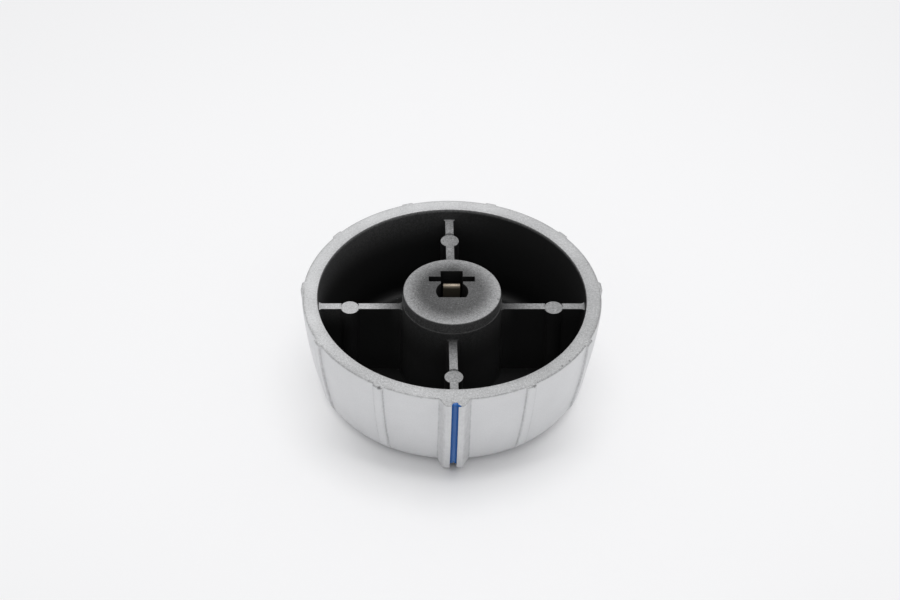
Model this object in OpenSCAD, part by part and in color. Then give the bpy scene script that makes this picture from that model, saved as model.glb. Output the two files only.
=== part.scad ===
// Appliance control knob, lying on its front face with the open back up.
// Millimetres. The shaft axis is Z, the front face is at z = 0 and the pointer is at -Y.

/* [Shell] */
// Outside diameter of the plain wall at the rim
rim_d = 56; // [50:0.5:64]
// Height from the front face to the rim
shell_h = 20; // [17:0.5:24]
// Lean of the wall at the rim, in degrees, inwards to the front face
rim_lean = 4.5; // [1:0.5:8]
// Radius of the wall's bulge from the rim to the front
bulge_r = 94; // [70:1:160]
// Thickness of the wall at the rim
wall_t = 2.85; // [2:0.05:4]
// Thickness of the wall where it meets the front
wall_foot_t = 2.3; // [1.6:0.1:3.5]
// Thickness of the front face
front_t = 2.6; // [1.6:0.1:4]
// Outside radius between the wall and the front face
corner_r = 4.5; // [2.5:0.1:6.5]
// Inside radius between the wall and the front face
cavity_r = 2; // [0.5:0.1:3.5]
// Rounding of the rim's outer edge, and of the tops of the flutes and the ridge
rim_edge_r = 0.4; // [0.1:0.05:0.8]

/* [Flutes] */
// Number of flutes, evenly spaced over the rest of the wall
flute_count = 10; // [4:1:14]
// Angle between the pointer and the first flute on each side
pointer_gap = 30; // [20:1:45]
// Width of a flute
flute_w = 2; // [1:0.1:3]
// Height of a flute above the wall
flute_h = 0.4; // [0.2:0.05:0.9]
// Distance from the rim down to a flute's top
flute_drop = 0.1; // [0.05:0.05:2]
// Radius at the front end of a flute, where it runs out into the wall's own rounding
flute_corner_r = 5.6; // [3:0.1:6.5]

/* [Pointer] */
// Width of the pointer ridge's crown
ridge_crown_w = 3.6; // [2.6:0.1:5]
// Width of each sloping flank of the ridge
ridge_flank_w = 1.1; // [0.4:0.1:2]
// Height of the ridge above the wall
ridge_h = 1.75; // [1.2:0.05:2.6]
// Radius at the front end of the ridge
ridge_corner_r = 2.8; // [1.5:0.1:4]
// Width of the groove along the crown
groove_w = 1.3; // [0.6:0.1:2]
// Depth of the groove
groove_depth = 0.9; // [0.4:0.05:1.1]
// Share of the groove's depth that the paint fills
paint_fill = 0.6; // [0.3:0.05:0.9]
// Height above the front face at which the paint stops
paint_end = 1.7; // [1:0.1:6]

/* [Hub] */
// Diameter of the hub's end face
hub_d = 18.3; // [16:0.1:22]
// Height of the hub's end face above the rim
hub_rise = 1.4; // [0.2:0.1:3]
// Distance from the end face down to the step in the hub
hub_step_drop = 2.3; // [1:0.1:4]
// Width of that step
hub_step_w = 0.15; // [0.05:0.05:0.5]
// Lean of the hub's side below the step, in degrees
hub_draft = 0.8; // [0.2:0.1:2]
// Rounding of the end face's edge
hub_edge_r = 0.3; // [0.1:0.05:0.6]

/* [Ribs] */
// Number of ribs between the hub and the wall
rib_count = 4; // [3:1:6]
// Thickness of a rib
rib_t = 1.6; // [1:0.1:2.4]
// Distance from the rim down to the ribs' tops
rib_drop = 2.3; // [1:0.1:6]
// Flare of a rib against the hub and the wall
rib_flare = 0.5; // [0.1:0.1:1.5]
// Diameter of the ejector post on each rib
post_d = 3.5; // [2.6:0.1:4.5]
// Distance from the wall's inside to the post's centre
post_inset = 6.1; // [3:0.05:9]
// Distance from a rib's top down to the pin mark on its post
post_drop = 0.35; // [0.1:0.05:0.8]

/* [Socket] */
// Diameter of the shaft's round
socket_d = 6; // [5:0.1:7]
// Distance from the flat to the far side of the round
socket_across = 4.64; // [4.2:0.02:5.2]
// Depth of the socket
socket_depth = 15; // [12:0.5:17]
// Width of the clip's pocket behind the socket
pocket_w = 4.12; // [3.6:0.02:4.8]
// Distance from the socket's round to the pocket's back wall
pocket_reach = 2.7; // [2.2:0.1:3.4]
// Length of the cross slot that holds the clip's shoulders
slot_l = 8.6; // [6.4:0.1:10]
// Width of the cross slot
slot_w = 1.36; // [1.1:0.02:1.8]
// Depth of the cross slot
slot_depth = 11.5; // [9:0.5:12]

/* [Clip] */
// Thickness of the clip's strip
clip_t = 0.35; // [0.2:0.05:0.5]
// How far the clip's front leg stands in the shaft's way
clip_bite = 0.2; // [0.05:0.05:0.4]
// Distance from the hub's end face down to the clip's bend
clip_drop = 1.3; // [0.6:0.1:3]
// Clearance between the strip and each side of the pocket
clip_side_gap = 0.46; // [0.1:0.02:0.8]
// Clearance between the shoulders and each end of the slot
clip_end_gap = 0.2; // [0.1:0.05:0.5]
// Height of the clip's shoulders
clip_shoulder_h = 5; // [2:0.5:7]
// Distance that the front leg stops short of the slot's floor
clip_leg_gap = 1; // [0.5:0.1:3]

/* [Hidden] */
$fn = 96;
silver = "#b7b8ba";
spring_metal = "#a88a58";
blue = "#1a56b8";

// How far pieces of one moulding run into each other, and how far a cut runs past a face
bite = 1;
over = 1;

// Facets along the wall's bulge, the front's rounding and the finer edges
bulge_steps = 5;
corner_steps = 6;
edge_steps = 3;

rim_r = rim_d / 2;
core_r = rim_r / 2;
bulge_centre = [rim_r - bulge_r * cos(rim_lean), shell_h + bulge_r * sin(rim_lean)];
cavity_rim_r = rim_r - wall_t;
cavity_foot_r = wall_r(0, front_t) - wall_foot_t;
cavity_slope = (cavity_rim_r - cavity_foot_r) / (shell_h - front_t);
wall_lean = atan((rim_r - wall_r(0, corner_r)) / (shell_h - corner_r));

hub_r = hub_d / 2;
hub_z = shell_h + hub_rise;
hub_step_z = hub_z - hub_step_drop;
rib_z = shell_h - rib_drop;
post_z = rib_z - post_drop;
hub_r_at_rib = hub_r + hub_step_w + (hub_step_z - rib_z) * tan(hub_draft);
cavity_r_at_rib = cavity_rim_r - rib_drop * cavity_slope;
post_pos = cavity_rim_r - post_inset;

pointer_angle = -90;
groove_floor = ridge_h - groove_depth;
paint_top = groove_floor + groove_depth * paint_fill;

socket_r = socket_d / 2;
flat_pos = socket_across - socket_r;
pocket_back = socket_r + pocket_reach;
clip_front = socket_r - clip_bite;
slot_back = clip_front + slot_w;
clip_bend_r = slot_w / 2;
clip_bend_z = hub_z - clip_drop - clip_bend_r;
slot_floor_z = hub_z - slot_depth;

// Radius of the bulging wall at a height, with the wall moved outwards by grow
function wall_r(grow, z) = bulge_centre.x + sqrt(pow(bulge_r + grow, 2) - pow(z - bulge_centre.y, 2));

// Points along a circle, from one angle to another
function arc(centre, r, from, to, steps) =
    [for (k = [0 : steps]) let(angle = from + (to - from) * k / steps) centre + r * [cos(angle), sin(angle)]];

function angle_of(v) = atan2(v.y, v.x);

// Centre, at height z, of a circle that touches the wall's bulge from inside
function tucked(side_r, r, z) = [bulge_centre.x + sqrt(pow(side_r - r, 2) - pow(z - bulge_centre.y, 2)), z];

// Points up the bowl's outside from the front face to a height,
// with the wall moved outwards by grow and its own front radius
function wall_points(grow, front_r, top_z = shell_h) =
    let(
        side_r = bulge_r + grow,
        front_centre = tucked(side_r, front_r, front_r),
        edge_centre = tucked(side_r, rim_edge_r, top_z - rim_edge_r),
        foot_angle = angle_of(front_centre - bulge_centre),
        shoulder_angle = angle_of(edge_centre - bulge_centre),
        bulge = arc(bulge_centre, side_r, foot_angle, shoulder_angle, bulge_steps),
        edge = arc(edge_centre, rim_edge_r, shoulder_angle, 90, edge_steps)
    )
    concat(
        arc(front_centre, front_r, -90, foot_angle, corner_steps),
        [for (k = [1 : bulge_steps]) bulge[k]],
        [for (k = [1 : edge_steps - 1]) edge[k]],
        [[edge_centre.x, top_z]]
    );

// The bowl with nothing taken out of it
module bowl(grow) {
    rotate_extrude() polygon(concat([[0, 0]], wall_points(grow, corner_r), [[0, shell_h]]));
}

// Half of the bowl's outline away from the axis
module wall_outline(grow, front_r) {
    polygon(concat([[core_r, 0]], wall_points(grow, front_r), [[core_r, shell_h]]));
}

// A raised strip along the wall towards +X, rooted in the wall
module strip(grow, front_r, width, top_z = shell_h) {
    crown = wall_points(grow, front_r, top_z);
    root = wall_points(-bite, corner_r, top_z);
    rotate([90, 0, 0])
        linear_extrude(width, center = true)
            polygon(concat(crown, [for (k = [len(root) - 1 : -1 : 0]) root[k]]));
}

// What the moulding's core leaves open between the wall and the front face
module cavity() {
    lean = atan(cavity_slope);
    foot_x = cavity_foot_r - cavity_r * (1 - sin(lean)) / cos(lean);
    top = shell_h + over;
    rotate_extrude()
        polygon(concat(
            [[0, front_t]],
            arc([foot_x, front_t + cavity_r], cavity_r, -90, -lean, corner_steps),
            [[cavity_rim_r + over * cavity_slope, top], [0, top]]
        ));
}

module flutes() {
    pitch = (360 - 2 * pointer_gap) / (flute_count - 1);
    for (k = [0 : flute_count - 1])
        rotate(pointer_angle + pointer_gap + k * pitch)
            strip(flute_h, flute_corner_r, flute_w, shell_h - flute_drop);
}

// The ridge's cross-section, with the wall's surface at x = 0 and the crown towards +X
module ridge_section() {
    flank_slope = ridge_flank_w / ridge_h;
    base = ridge_crown_w / 2 + ridge_flank_w;
    tip = ridge_crown_w / 2 - flank_slope * over / 2;
    tip_x = ridge_h + over / 2;
    root_x = -corner_r - wall_t;
    polygon([[root_x, -base], [0, -base], [tip_x, -tip], [tip_x, tip], [0, base], [root_x, base]]);
}

// The ridge leans with the wall, so its section is swept along the wall's slope
module ridge() {
    intersection() {
        strip(ridge_h, ridge_corner_r, ridge_crown_w + 4 * ridge_flank_w);
        translate([rim_r, 0, shell_h])
            rotate([0, wall_lean, 0])
                translate([0, 0, -2 * shell_h])
                    linear_extrude(3 * shell_h) ridge_section();
    }
}

// Everything outside the groove's floor, as wide as the groove
module groove() {
    rotate([90, 0, 0])
        linear_extrude(groove_w, center = true)
            difference() {
                translate([core_r, -over]) square([rim_r, shell_h + 2 * over]);
                wall_outline(groove_floor, ridge_corner_r);
            }
}

module hub() {
    root_z = front_t - bite;
    root_r = hub_r + hub_step_w + (hub_step_z - root_z) * tan(hub_draft);
    edge_centre = [hub_r - hub_edge_r, hub_z - hub_edge_r];
    rotate_extrude()
        polygon(concat(
            [[0, root_z], [root_r, root_z], [hub_r + hub_step_w, hub_step_z], [hub_r, hub_step_z]],
            arc(edge_centre, hub_edge_r, 0, 90, edge_steps),
            [[0, hub_z]]
        ));
}

// The D-shaped hole for the shaft, with the clip's pocket and cross slot behind it
module socket() {
    translate([0, 0, hub_z - socket_depth])
        linear_extrude(socket_depth + over) {
            intersection() {
                circle(socket_r);
                translate([-socket_r, -flat_pos]) square([socket_d, socket_across]);
            }
            translate([-pocket_w / 2, 0]) square([pocket_w, pocket_back]);
        }
    translate([0, 0, slot_floor_z])
        linear_extrude(slot_depth + over)
            translate([-slot_l / 2, clip_front]) square([slot_l, slot_w]);
}

// A rib towards +X in plan, flared where it meets the hub and the wall
module rib_plan() {
    half_t = rib_t / 2;
    root = hub_r_at_rib - bite;
    tip = cavity_r_at_rib + wall_t;
    translate([root, -half_t]) square([tip - root, rib_t]);
    polygon([
        [root, half_t + rib_flare + bite],
        [hub_r_at_rib + rib_flare, half_t],
        [hub_r_at_rib + rib_flare, -half_t],
        [root, -half_t - rib_flare - bite]
    ]);
    polygon([
        [tip, half_t + rib_flare + wall_t],
        [cavity_r_at_rib - rib_flare, half_t],
        [cavity_r_at_rib - rib_flare, -half_t],
        [tip, -half_t - rib_flare - wall_t]
    ]);
}

// Ribs with a round post on each, topped by the flat mark of an ejector pin
module ribs() {
    root_z = front_t - bite;
    difference() {
        intersection() {
            bowl(-bite);
            for (k = [0 : rib_count - 1])
                rotate(pointer_angle + k * 360 / rib_count)
                    translate([0, 0, root_z])
                        linear_extrude(rib_z - root_z) rib_plan();
        }
        at_posts(post_z) cylinder(h = post_drop + over, d = post_d);
    }
    at_posts(root_z) cylinder(h = post_z - root_z, d = post_d);
}

module at_posts(z) {
    for (k = [0 : rib_count - 1])
        rotate(pointer_angle + k * 360 / rib_count)
            translate([post_pos, 0, z]) children();
}

// The whole moulding: shell, flutes, pointer ridge, ribs and hub
module knob_body() {
    color(silver) {
        difference() {
            union() {
                bowl(0);
                flutes();
                rotate(pointer_angle) ridge();
            }
            cavity();
            rotate(pointer_angle) groove();
        }
        ribs();
        difference() {
            hub();
            socket();
        }
    }
}

// A hairpin of sheet metal, its back leg flat on the slot's back wall and widened into shoulders
module spring_clip() {
    strip_w = pocket_w - 2 * clip_side_gap;
    shoulder_w = slot_l - 2 * clip_end_gap;
    leg_z = slot_floor_z + clip_leg_gap;
    color(spring_metal) {
        translate([0, clip_front + clip_bend_r, clip_bend_z])
            rotate([0, 90, 0])
                linear_extrude(strip_w, center = true)
                    difference() {
                        circle(clip_bend_r);
                        circle(clip_bend_r - clip_t);
                        translate([0, -slot_w]) square(2 * slot_w);
                    }
        translate([-strip_w / 2, clip_front, leg_z]) cube([strip_w, clip_t, clip_bend_z - leg_z]);
        translate([-strip_w / 2, slot_back - clip_t, slot_floor_z])
            cube([strip_w, clip_t, clip_bend_z - slot_floor_z]);
        translate([-shoulder_w / 2, slot_back - clip_t, slot_floor_z])
            cube([shoulder_w, clip_t, clip_shoulder_h]);
    }
}

// Paint that lies on the groove's floor, from the rim down to its ragged end
module pointer_line() {
    color(blue)
        rotate(pointer_angle)
            rotate([90, 0, 0])
                linear_extrude(groove_w, center = true)
                    intersection() {
                        difference() {
                            wall_outline(paint_top, ridge_corner_r);
                            wall_outline(groove_floor, ridge_corner_r);
                        }
                        translate([core_r, paint_end]) square([rim_r, shell_h]);
                    }
}

knob_body();
spring_clip();
pointer_line();
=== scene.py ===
from math import acos, asin, atan, atan2, cos, pi, radians, sin, sqrt, tan
from types import SimpleNamespace

import bmesh
import bpy
import numpy as np
from bpy.props import FloatProperty, FloatVectorProperty, IntProperty, PointerProperty
from mathutils import Matrix, Vector
from mathutils.geometry import tessellate_polygon


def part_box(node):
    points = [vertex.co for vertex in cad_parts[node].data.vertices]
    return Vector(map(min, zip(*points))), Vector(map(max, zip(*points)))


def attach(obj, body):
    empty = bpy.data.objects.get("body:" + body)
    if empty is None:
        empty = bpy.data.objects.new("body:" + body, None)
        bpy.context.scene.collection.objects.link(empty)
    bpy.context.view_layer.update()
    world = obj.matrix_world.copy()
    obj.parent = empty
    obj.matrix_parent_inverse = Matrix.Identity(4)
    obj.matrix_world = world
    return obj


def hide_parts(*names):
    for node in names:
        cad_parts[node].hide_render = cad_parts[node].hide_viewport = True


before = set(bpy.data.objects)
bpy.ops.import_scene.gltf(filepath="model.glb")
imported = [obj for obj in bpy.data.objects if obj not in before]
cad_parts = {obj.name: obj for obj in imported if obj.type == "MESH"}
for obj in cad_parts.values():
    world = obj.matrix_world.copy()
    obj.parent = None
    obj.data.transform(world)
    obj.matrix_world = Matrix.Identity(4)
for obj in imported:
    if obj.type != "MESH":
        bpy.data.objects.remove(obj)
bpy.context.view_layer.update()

bl_info = {
    "name": "Appliance control knob",
    "version": (1, 0, 0),
    "blender": (4, 5, 0),
    "location": "3D View > Sidebar > Knob",
    "description": "Moulded knob sprayed silver, seen from its open back, with its shaft clip and pointer",
    "category": "Object",
}

MM = 0.001
BODY = "root"

# The hub, the clip and the paint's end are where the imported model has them
HUB_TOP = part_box("knob_body")[1].z
CLIP_LOW, CLIP_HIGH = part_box("spring_clip")
PAINT_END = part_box("pointer_line")[0].z


def number(value, name, about, **more):
    return FloatProperty(name=name, description=about, default=value, **more)


def length(mm, name, about):
    """A size in the panel: written in millimetres here, kept in metres."""
    return number(mm * MM, name, about, min=0, unit="LENGTH", precision=5)


def angle(degrees, name, about):
    return number(radians(degrees), name, about, subtype="ANGLE")


def share(value, name, about):
    return number(value, name, about, min=0, max=1, subtype="FACTOR")


def colour(rgb, name, about):
    return FloatVectorProperty(name=name, description=about, default=rgb, min=0, max=1, subtype="COLOR")


def nested(kind, name, about):
    return PointerProperty(type=kind, name=name, description=about)


class KnobShell(bpy.types.PropertyGroup):
    rim_r: length(28, "Rim radius", "Outside radius of the plain wall at the rim")
    height: length(20, "Height", "Height from the front face to the rim")
    rim_lean: angle(4.5, "Rim lean", "Lean of the wall at the rim")
    bulge_r: length(94, "Bulge radius", "Radius of the wall's bulge from the rim to the front")
    wall_t: length(2.85, "Rim thickness", "Thickness of the wall at the rim")
    foot_t: length(2.3, "Foot thickness", "Thickness of the wall where it meets the front")
    front_t: length(2.6, "Front thickness", "Thickness of the front face")
    corner_r: length(4.5, "Corner radius", "Outside radius between the wall and the front face")
    cavity_r: length(2, "Cavity radius", "Inside radius between the wall and the front face")
    edge_r: length(0.4, "Rim edge", "Rounding of the rim's outer edge")
    inner_edge_r: length(0.14, "Inner edge", "Rounding of the rim's inner edge")


class KnobFlutes(bpy.types.PropertyGroup):
    count: IntProperty(name="Flutes", description="Flutes on the wall beside the pointer",
                       default=10, min=2)
    gap: angle(30, "Pointer gap", "Angle between the pointer and the first flute on each side")
    width: length(2, "Flute width", "Width of a flute's crown")
    proud: length(0.4, "Flute height", "Height of a flute above the wall")
    drop: length(0.1, "Flute drop", "Distance from the rim down to a flute's top")
    corner_r: length(5.6, "Flute end", "Radius at the front end of a flute")


class KnobPointer(bpy.types.PropertyGroup):
    crown_w: length(3.6, "Crown width", "Width of the pointer ridge's crown")
    flank_w: length(1.1, "Flank width", "Width of each sloping flank of the ridge")
    proud: length(1.75, "Ridge height", "Height of the ridge above the wall")
    corner_r: length(2.8, "Ridge end", "Radius at the front end of the ridge")
    groove_w: length(1.3, "Groove width", "Width of the groove along the crown")
    groove_depth: length(0.9, "Groove depth", "Depth of the groove")
    fill: share(0.6, "Paint fill", "Share of the groove's depth that the paint fills")
    paint_end: length(PAINT_END / MM, "Paint end", "Height at which the paint stops")


class KnobHub(bpy.types.PropertyGroup):
    radius: length(9.15, "Hub radius", "Radius of the hub's end face")
    top: length(HUB_TOP / MM, "Hub top", "Height of the hub's end face")
    step_drop: length(2.3, "Step drop", "Distance from the end face down to the step")
    step_w: length(0.15, "Step width", "Width of the step in the hub's side")
    draft: angle(0.8, "Draft", "Lean of the hub's side below the step")
    edge_r: length(0.3, "Hub edge", "Rounding of the end face's edge")
    socket_r: length(3, "Socket radius", "Radius of the shaft's round")
    socket_across: length(4.64, "Socket across", "Distance from the flat to the far side of the round")
    socket_depth: length(15, "Socket depth", "Depth of the socket")
    pocket_w: length(4.12, "Pocket width", "Width of the clip's pocket")
    pocket_reach: length(2.7, "Pocket reach", "Distance from the socket's round to the pocket's back")
    slot_l: length(8.6, "Slot length", "Length of the cross slot")
    slot_depth: length(11.5, "Slot depth", "Depth of the cross slot")
    mouth_r: length(0.1, "Mouth edge", "Rounding of the socket's mouth")


class KnobRibs(bpy.types.PropertyGroup):
    count: IntProperty(name="Ribs", description="Ribs between the hub and the wall", default=4, min=1)
    thickness: length(1.6, "Rib thickness", "Thickness of a rib")
    drop: length(2.3, "Rib drop", "Distance from the rim down to the ribs' tops")
    flare: length(0.5, "Rib flare", "Flare of a rib against the hub and the wall")
    post_d: length(3.5, "Post diameter", "Diameter of the ejector post on each rib")
    post_inset: length(6.1, "Post inset", "Distance from the wall's inside to the post's centre")
    post_drop: length(0.35, "Post drop", "Distance from a rib's top down to the pin mark")
    edge_r: length(0.12, "Rib edge", "Rounding of the ribs' and posts' top edges")


class KnobClip(bpy.types.PropertyGroup):
    thickness: length(0.35, "Strip thickness", "Thickness of the clip's strip")
    strip_w: length(3.2, "Strip width", "Width of the clip's legs")
    shoulder_h: length(5, "Shoulder height", "Height of the clip's shoulders")
    leg_gap: length(1, "Leg gap", "Distance that the front leg stops short of the slot's floor")
    edge_r: length(0.05, "Strip edge", "Rounding of the strip's edges")


class KnobFinish(bpy.types.PropertyGroup):
    silver: colour((0.745, 0.75, 0.76), "Silver", "Sprayed silver paint")
    plastic: colour((0.0112, 0.0112, 0.0115), "Plastic", "Bare black plastic")
    paint: colour((0.0112, 0.112, 0.40), "Blue", "Paint in the pointer's groove")
    metal: colour((0.21, 0.18, 0.145), "Spring metal", "Strip of the shaft clip")


class KnobStage(bpy.types.PropertyGroup):
    floor: colour((0.93, 0.93, 0.94), "Floor", "Colour of the floor")
    ambient: number(0.76, "Ambient", "Level of the light from all round", min=0)
    key: number(3.2, "Key light", "Power of the soft light overhead", min=0, unit="POWER")
    # Lift: painted light that pales the knob's shadow on the floor beside it
    lift: share(0.56, "Lift", "How much paler the floor is shown beside the knob")
    azimuth: angle(-2.1, "Azimuth", "Camera's turn about the upright axis")
    elevation: angle(41.794, "Elevation", "Camera's height above the floor's plane")
    roll: angle(-1.427, "Roll", "Camera's turn about its own line of sight")
    distance: length(700, "Distance", "From the camera to the rim's centre")
    lens: number(150.04, "Lens", "Focal length on a 36 mm sensor", unit="CAMERA")


class ControlKnob(bpy.types.PropertyGroup):
    shell: nested(KnobShell, "Shell", "Sizes of the bowl")
    flutes: nested(KnobFlutes, "Flutes", "Sizes of the flutes")
    pointer: nested(KnobPointer, "Pointer", "Sizes of the ridge and its groove")
    hub: nested(KnobHub, "Hub", "Sizes of the hub and its socket")
    ribs: nested(KnobRibs, "Ribs", "Sizes of the ribs")
    clip: nested(KnobClip, "Clip", "Sizes of the shaft clip")
    finish: nested(KnobFinish, "Finish", "Colours of the finishes")
    stage: nested(KnobStage, "Stage", "Floor, light and camera")


def sizes(group_name):
    """A group's values with its lengths in millimetres."""
    group = getattr(bpy.context.scene.control_knob, group_name)
    values = {}
    for name in type(group).__annotations__:
        value = getattr(group, name)
        is_length = group.bl_rna.properties[name].unit == "LENGTH"
        values[name] = value / MM if is_length else value
    return SimpleNamespace(**values)


# Node trees

def maths(operation, swapped=False):
    """A method that adds a Math node for a socket and what it is given."""
    def add(self, *others):
        values = (*others, self) if swapped else (self, *others)
        return self.graph.node("ShaderNodeMath", dict(enumerate(values)), operation=operation)
    return add


class Wire:
    """An output socket. Expressions on it add Math nodes to its tree."""

    def __init__(self, graph, socket):
        self.graph = graph
        self.socket = socket

    __add__ = __radd__ = maths("ADD")
    __mul__ = __rmul__ = maths("MULTIPLY")
    __sub__, __rsub__ = maths("SUBTRACT"), maths("SUBTRACT", swapped=True)
    __truediv__, __pow__ = maths("DIVIDE"), maths("POWER")
    least, most = maths("MINIMUM"), maths("MAXIMUM")
    size, root = maths("ABSOLUTE"), maths("SQRT")

    def __neg__(self):
        return self * -1

    def within(self):
        """Held between 0 and 1."""
        return self.least(1).most(0)

    def rise(self, low, high):
        """0 below low and 1 above high, with a smooth rise between them."""
        return self.graph.node("ShaderNodeMapRange", {"Value": self, "From Min": low, "From Max": high},
                               interpolation_type="SMOOTHSTEP")

    def other(self, name):
        """Another output of the same node."""
        return Wire(self.graph, self.socket.node.outputs[name])


class Graph:
    """A node tree with one way to add a node."""

    def __init__(self, tree):
        self.tree = tree
        tree.nodes.clear()

    def node(self, kind, sockets=None, output=0, **settings):
        made = self.tree.nodes.new(kind)
        for name, value in settings.items():
            setattr(made, name, value)
        for key, value in (sockets or {}).items():
            if isinstance(value, Wire):
                self.tree.links.new(value.socket, made.inputs[key])
            else:
                made.inputs[key].default_value = value
        return Wire(self, made.outputs[output]) if made.outputs else made

    def blend(self, factor, first, second):
        """A colour between two others."""
        return self.node("ShaderNodeMix", {0: factor, 6: first, 7: second}, 2, data_type="RGBA")

    def noise(self, place, scale, detail, roughness=0.5):
        sockets = {"Vector": place, "Scale": scale, "Detail": detail, "Roughness": roughness}
        return self.node("ShaderNodeTexNoise", sockets)


def tinted(rgb, by=1):
    """A colour for a socket, made darker or paler."""
    return (*(min(1, c * by) for c in rgb), 1)


def finish(name):
    """A new material and the graph of its nodes."""
    material = bpy.data.materials.new(name)
    material.use_nodes = True
    return material, Graph(material.node_tree)


def surface(graph, sockets, strength, depth, height):
    """One shader with these values on its sockets and a bump, led to the material's output."""
    normal = graph.node("ShaderNodeBump", {"Strength": strength, "Distance": depth, "Height": height})
    shader = graph.node("ShaderNodeBsdfPrincipled", {**sockets, "Normal": normal})
    graph.node("ShaderNodeOutputMaterial", {"Surface": shader})


def object_place(graph):
    """Object coordinates in millimetres, as a vector, as x, y and z and as the distance from the axis,
    and how far the surface faces up."""
    coordinates = graph.node("ShaderNodeTexCoord", None, "Object")
    place = graph.node("ShaderNodeVectorMath", {0: coordinates, "Scale": 1 / MM}, operation="SCALE")
    x = graph.node("ShaderNodeSeparateXYZ", {0: place})
    y, z = x.other("Y"), x.other("Z")
    facing = graph.node("ShaderNodeSeparateXYZ", {0: coordinates.other("Normal")})
    return place, x, y, z, (x * x + y * y).root(), facing.other("Z")


def stretched(graph, place, scale):
    return graph.node("ShaderNodeMapping", {"Vector": place, "Scale": scale})


def seen_rays(graph):
    """1 for what the camera sees, straight or in a reflection, and 0 for light on its way to a surface."""
    straight = graph.node("ShaderNodeLightPath", None, "Is Camera Ray")
    return straight.most(straight.other("Is Glossy Ray")).most(straight.other("Is Transmission Ray"))


# Finishes

# Name of the mesh attribute for thin paint, which also carries painted shade in the creases beside the flutes
# and the ridge and in the groove's foot
THIN_AND_SHADED = "thin_paint"
# Places where the paint is rubbed or thin: x, y, z and radius in mm, and how much of it is gone
CHIPS = [
    (-14.30, -24.37, 19.8, 0.36, 0.3), (-13.87, -24.61, 19.8, 0.6, 0.65), (-13.52, -24.80, 19.75, 0.36, 0.35),
    (14.21, -24.42, 19.8, 0.36, 0.3), (14.55, -24.22, 19.8, 0.5, 0.55), (14.84, -24.04, 19.75, 0.36, 0.3),
    (15.2, -24.0, 18.9, 0.22, 0.25), (-24.5, -14.1, 19.8, 0.5, 0.5), (-6.2, -27.3, 19.8, 0.3, 0.3),
    (19.8, -19.0, 19.95, 0.28, 0.6), (21.2, -17.6, 19.95, 0.28, 0.6), (20.6, -18.6, 20, 0.2, 0.6),
    (8.55, -2.2, 21.35, 0.35, 0.5), (0.3, 6.5, 21.4, 1.3, 0.3),
]
SPRAY_ON_TOPS = 0.89  # share of the spray that the faces of the open back got
FADED_BLUE = (0.07, 0.205, 0.52)
# Darker metal painted on the clip down in the slot, as shade
SHADED_METAL = (0.12, 0.105, 0.078)


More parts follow.
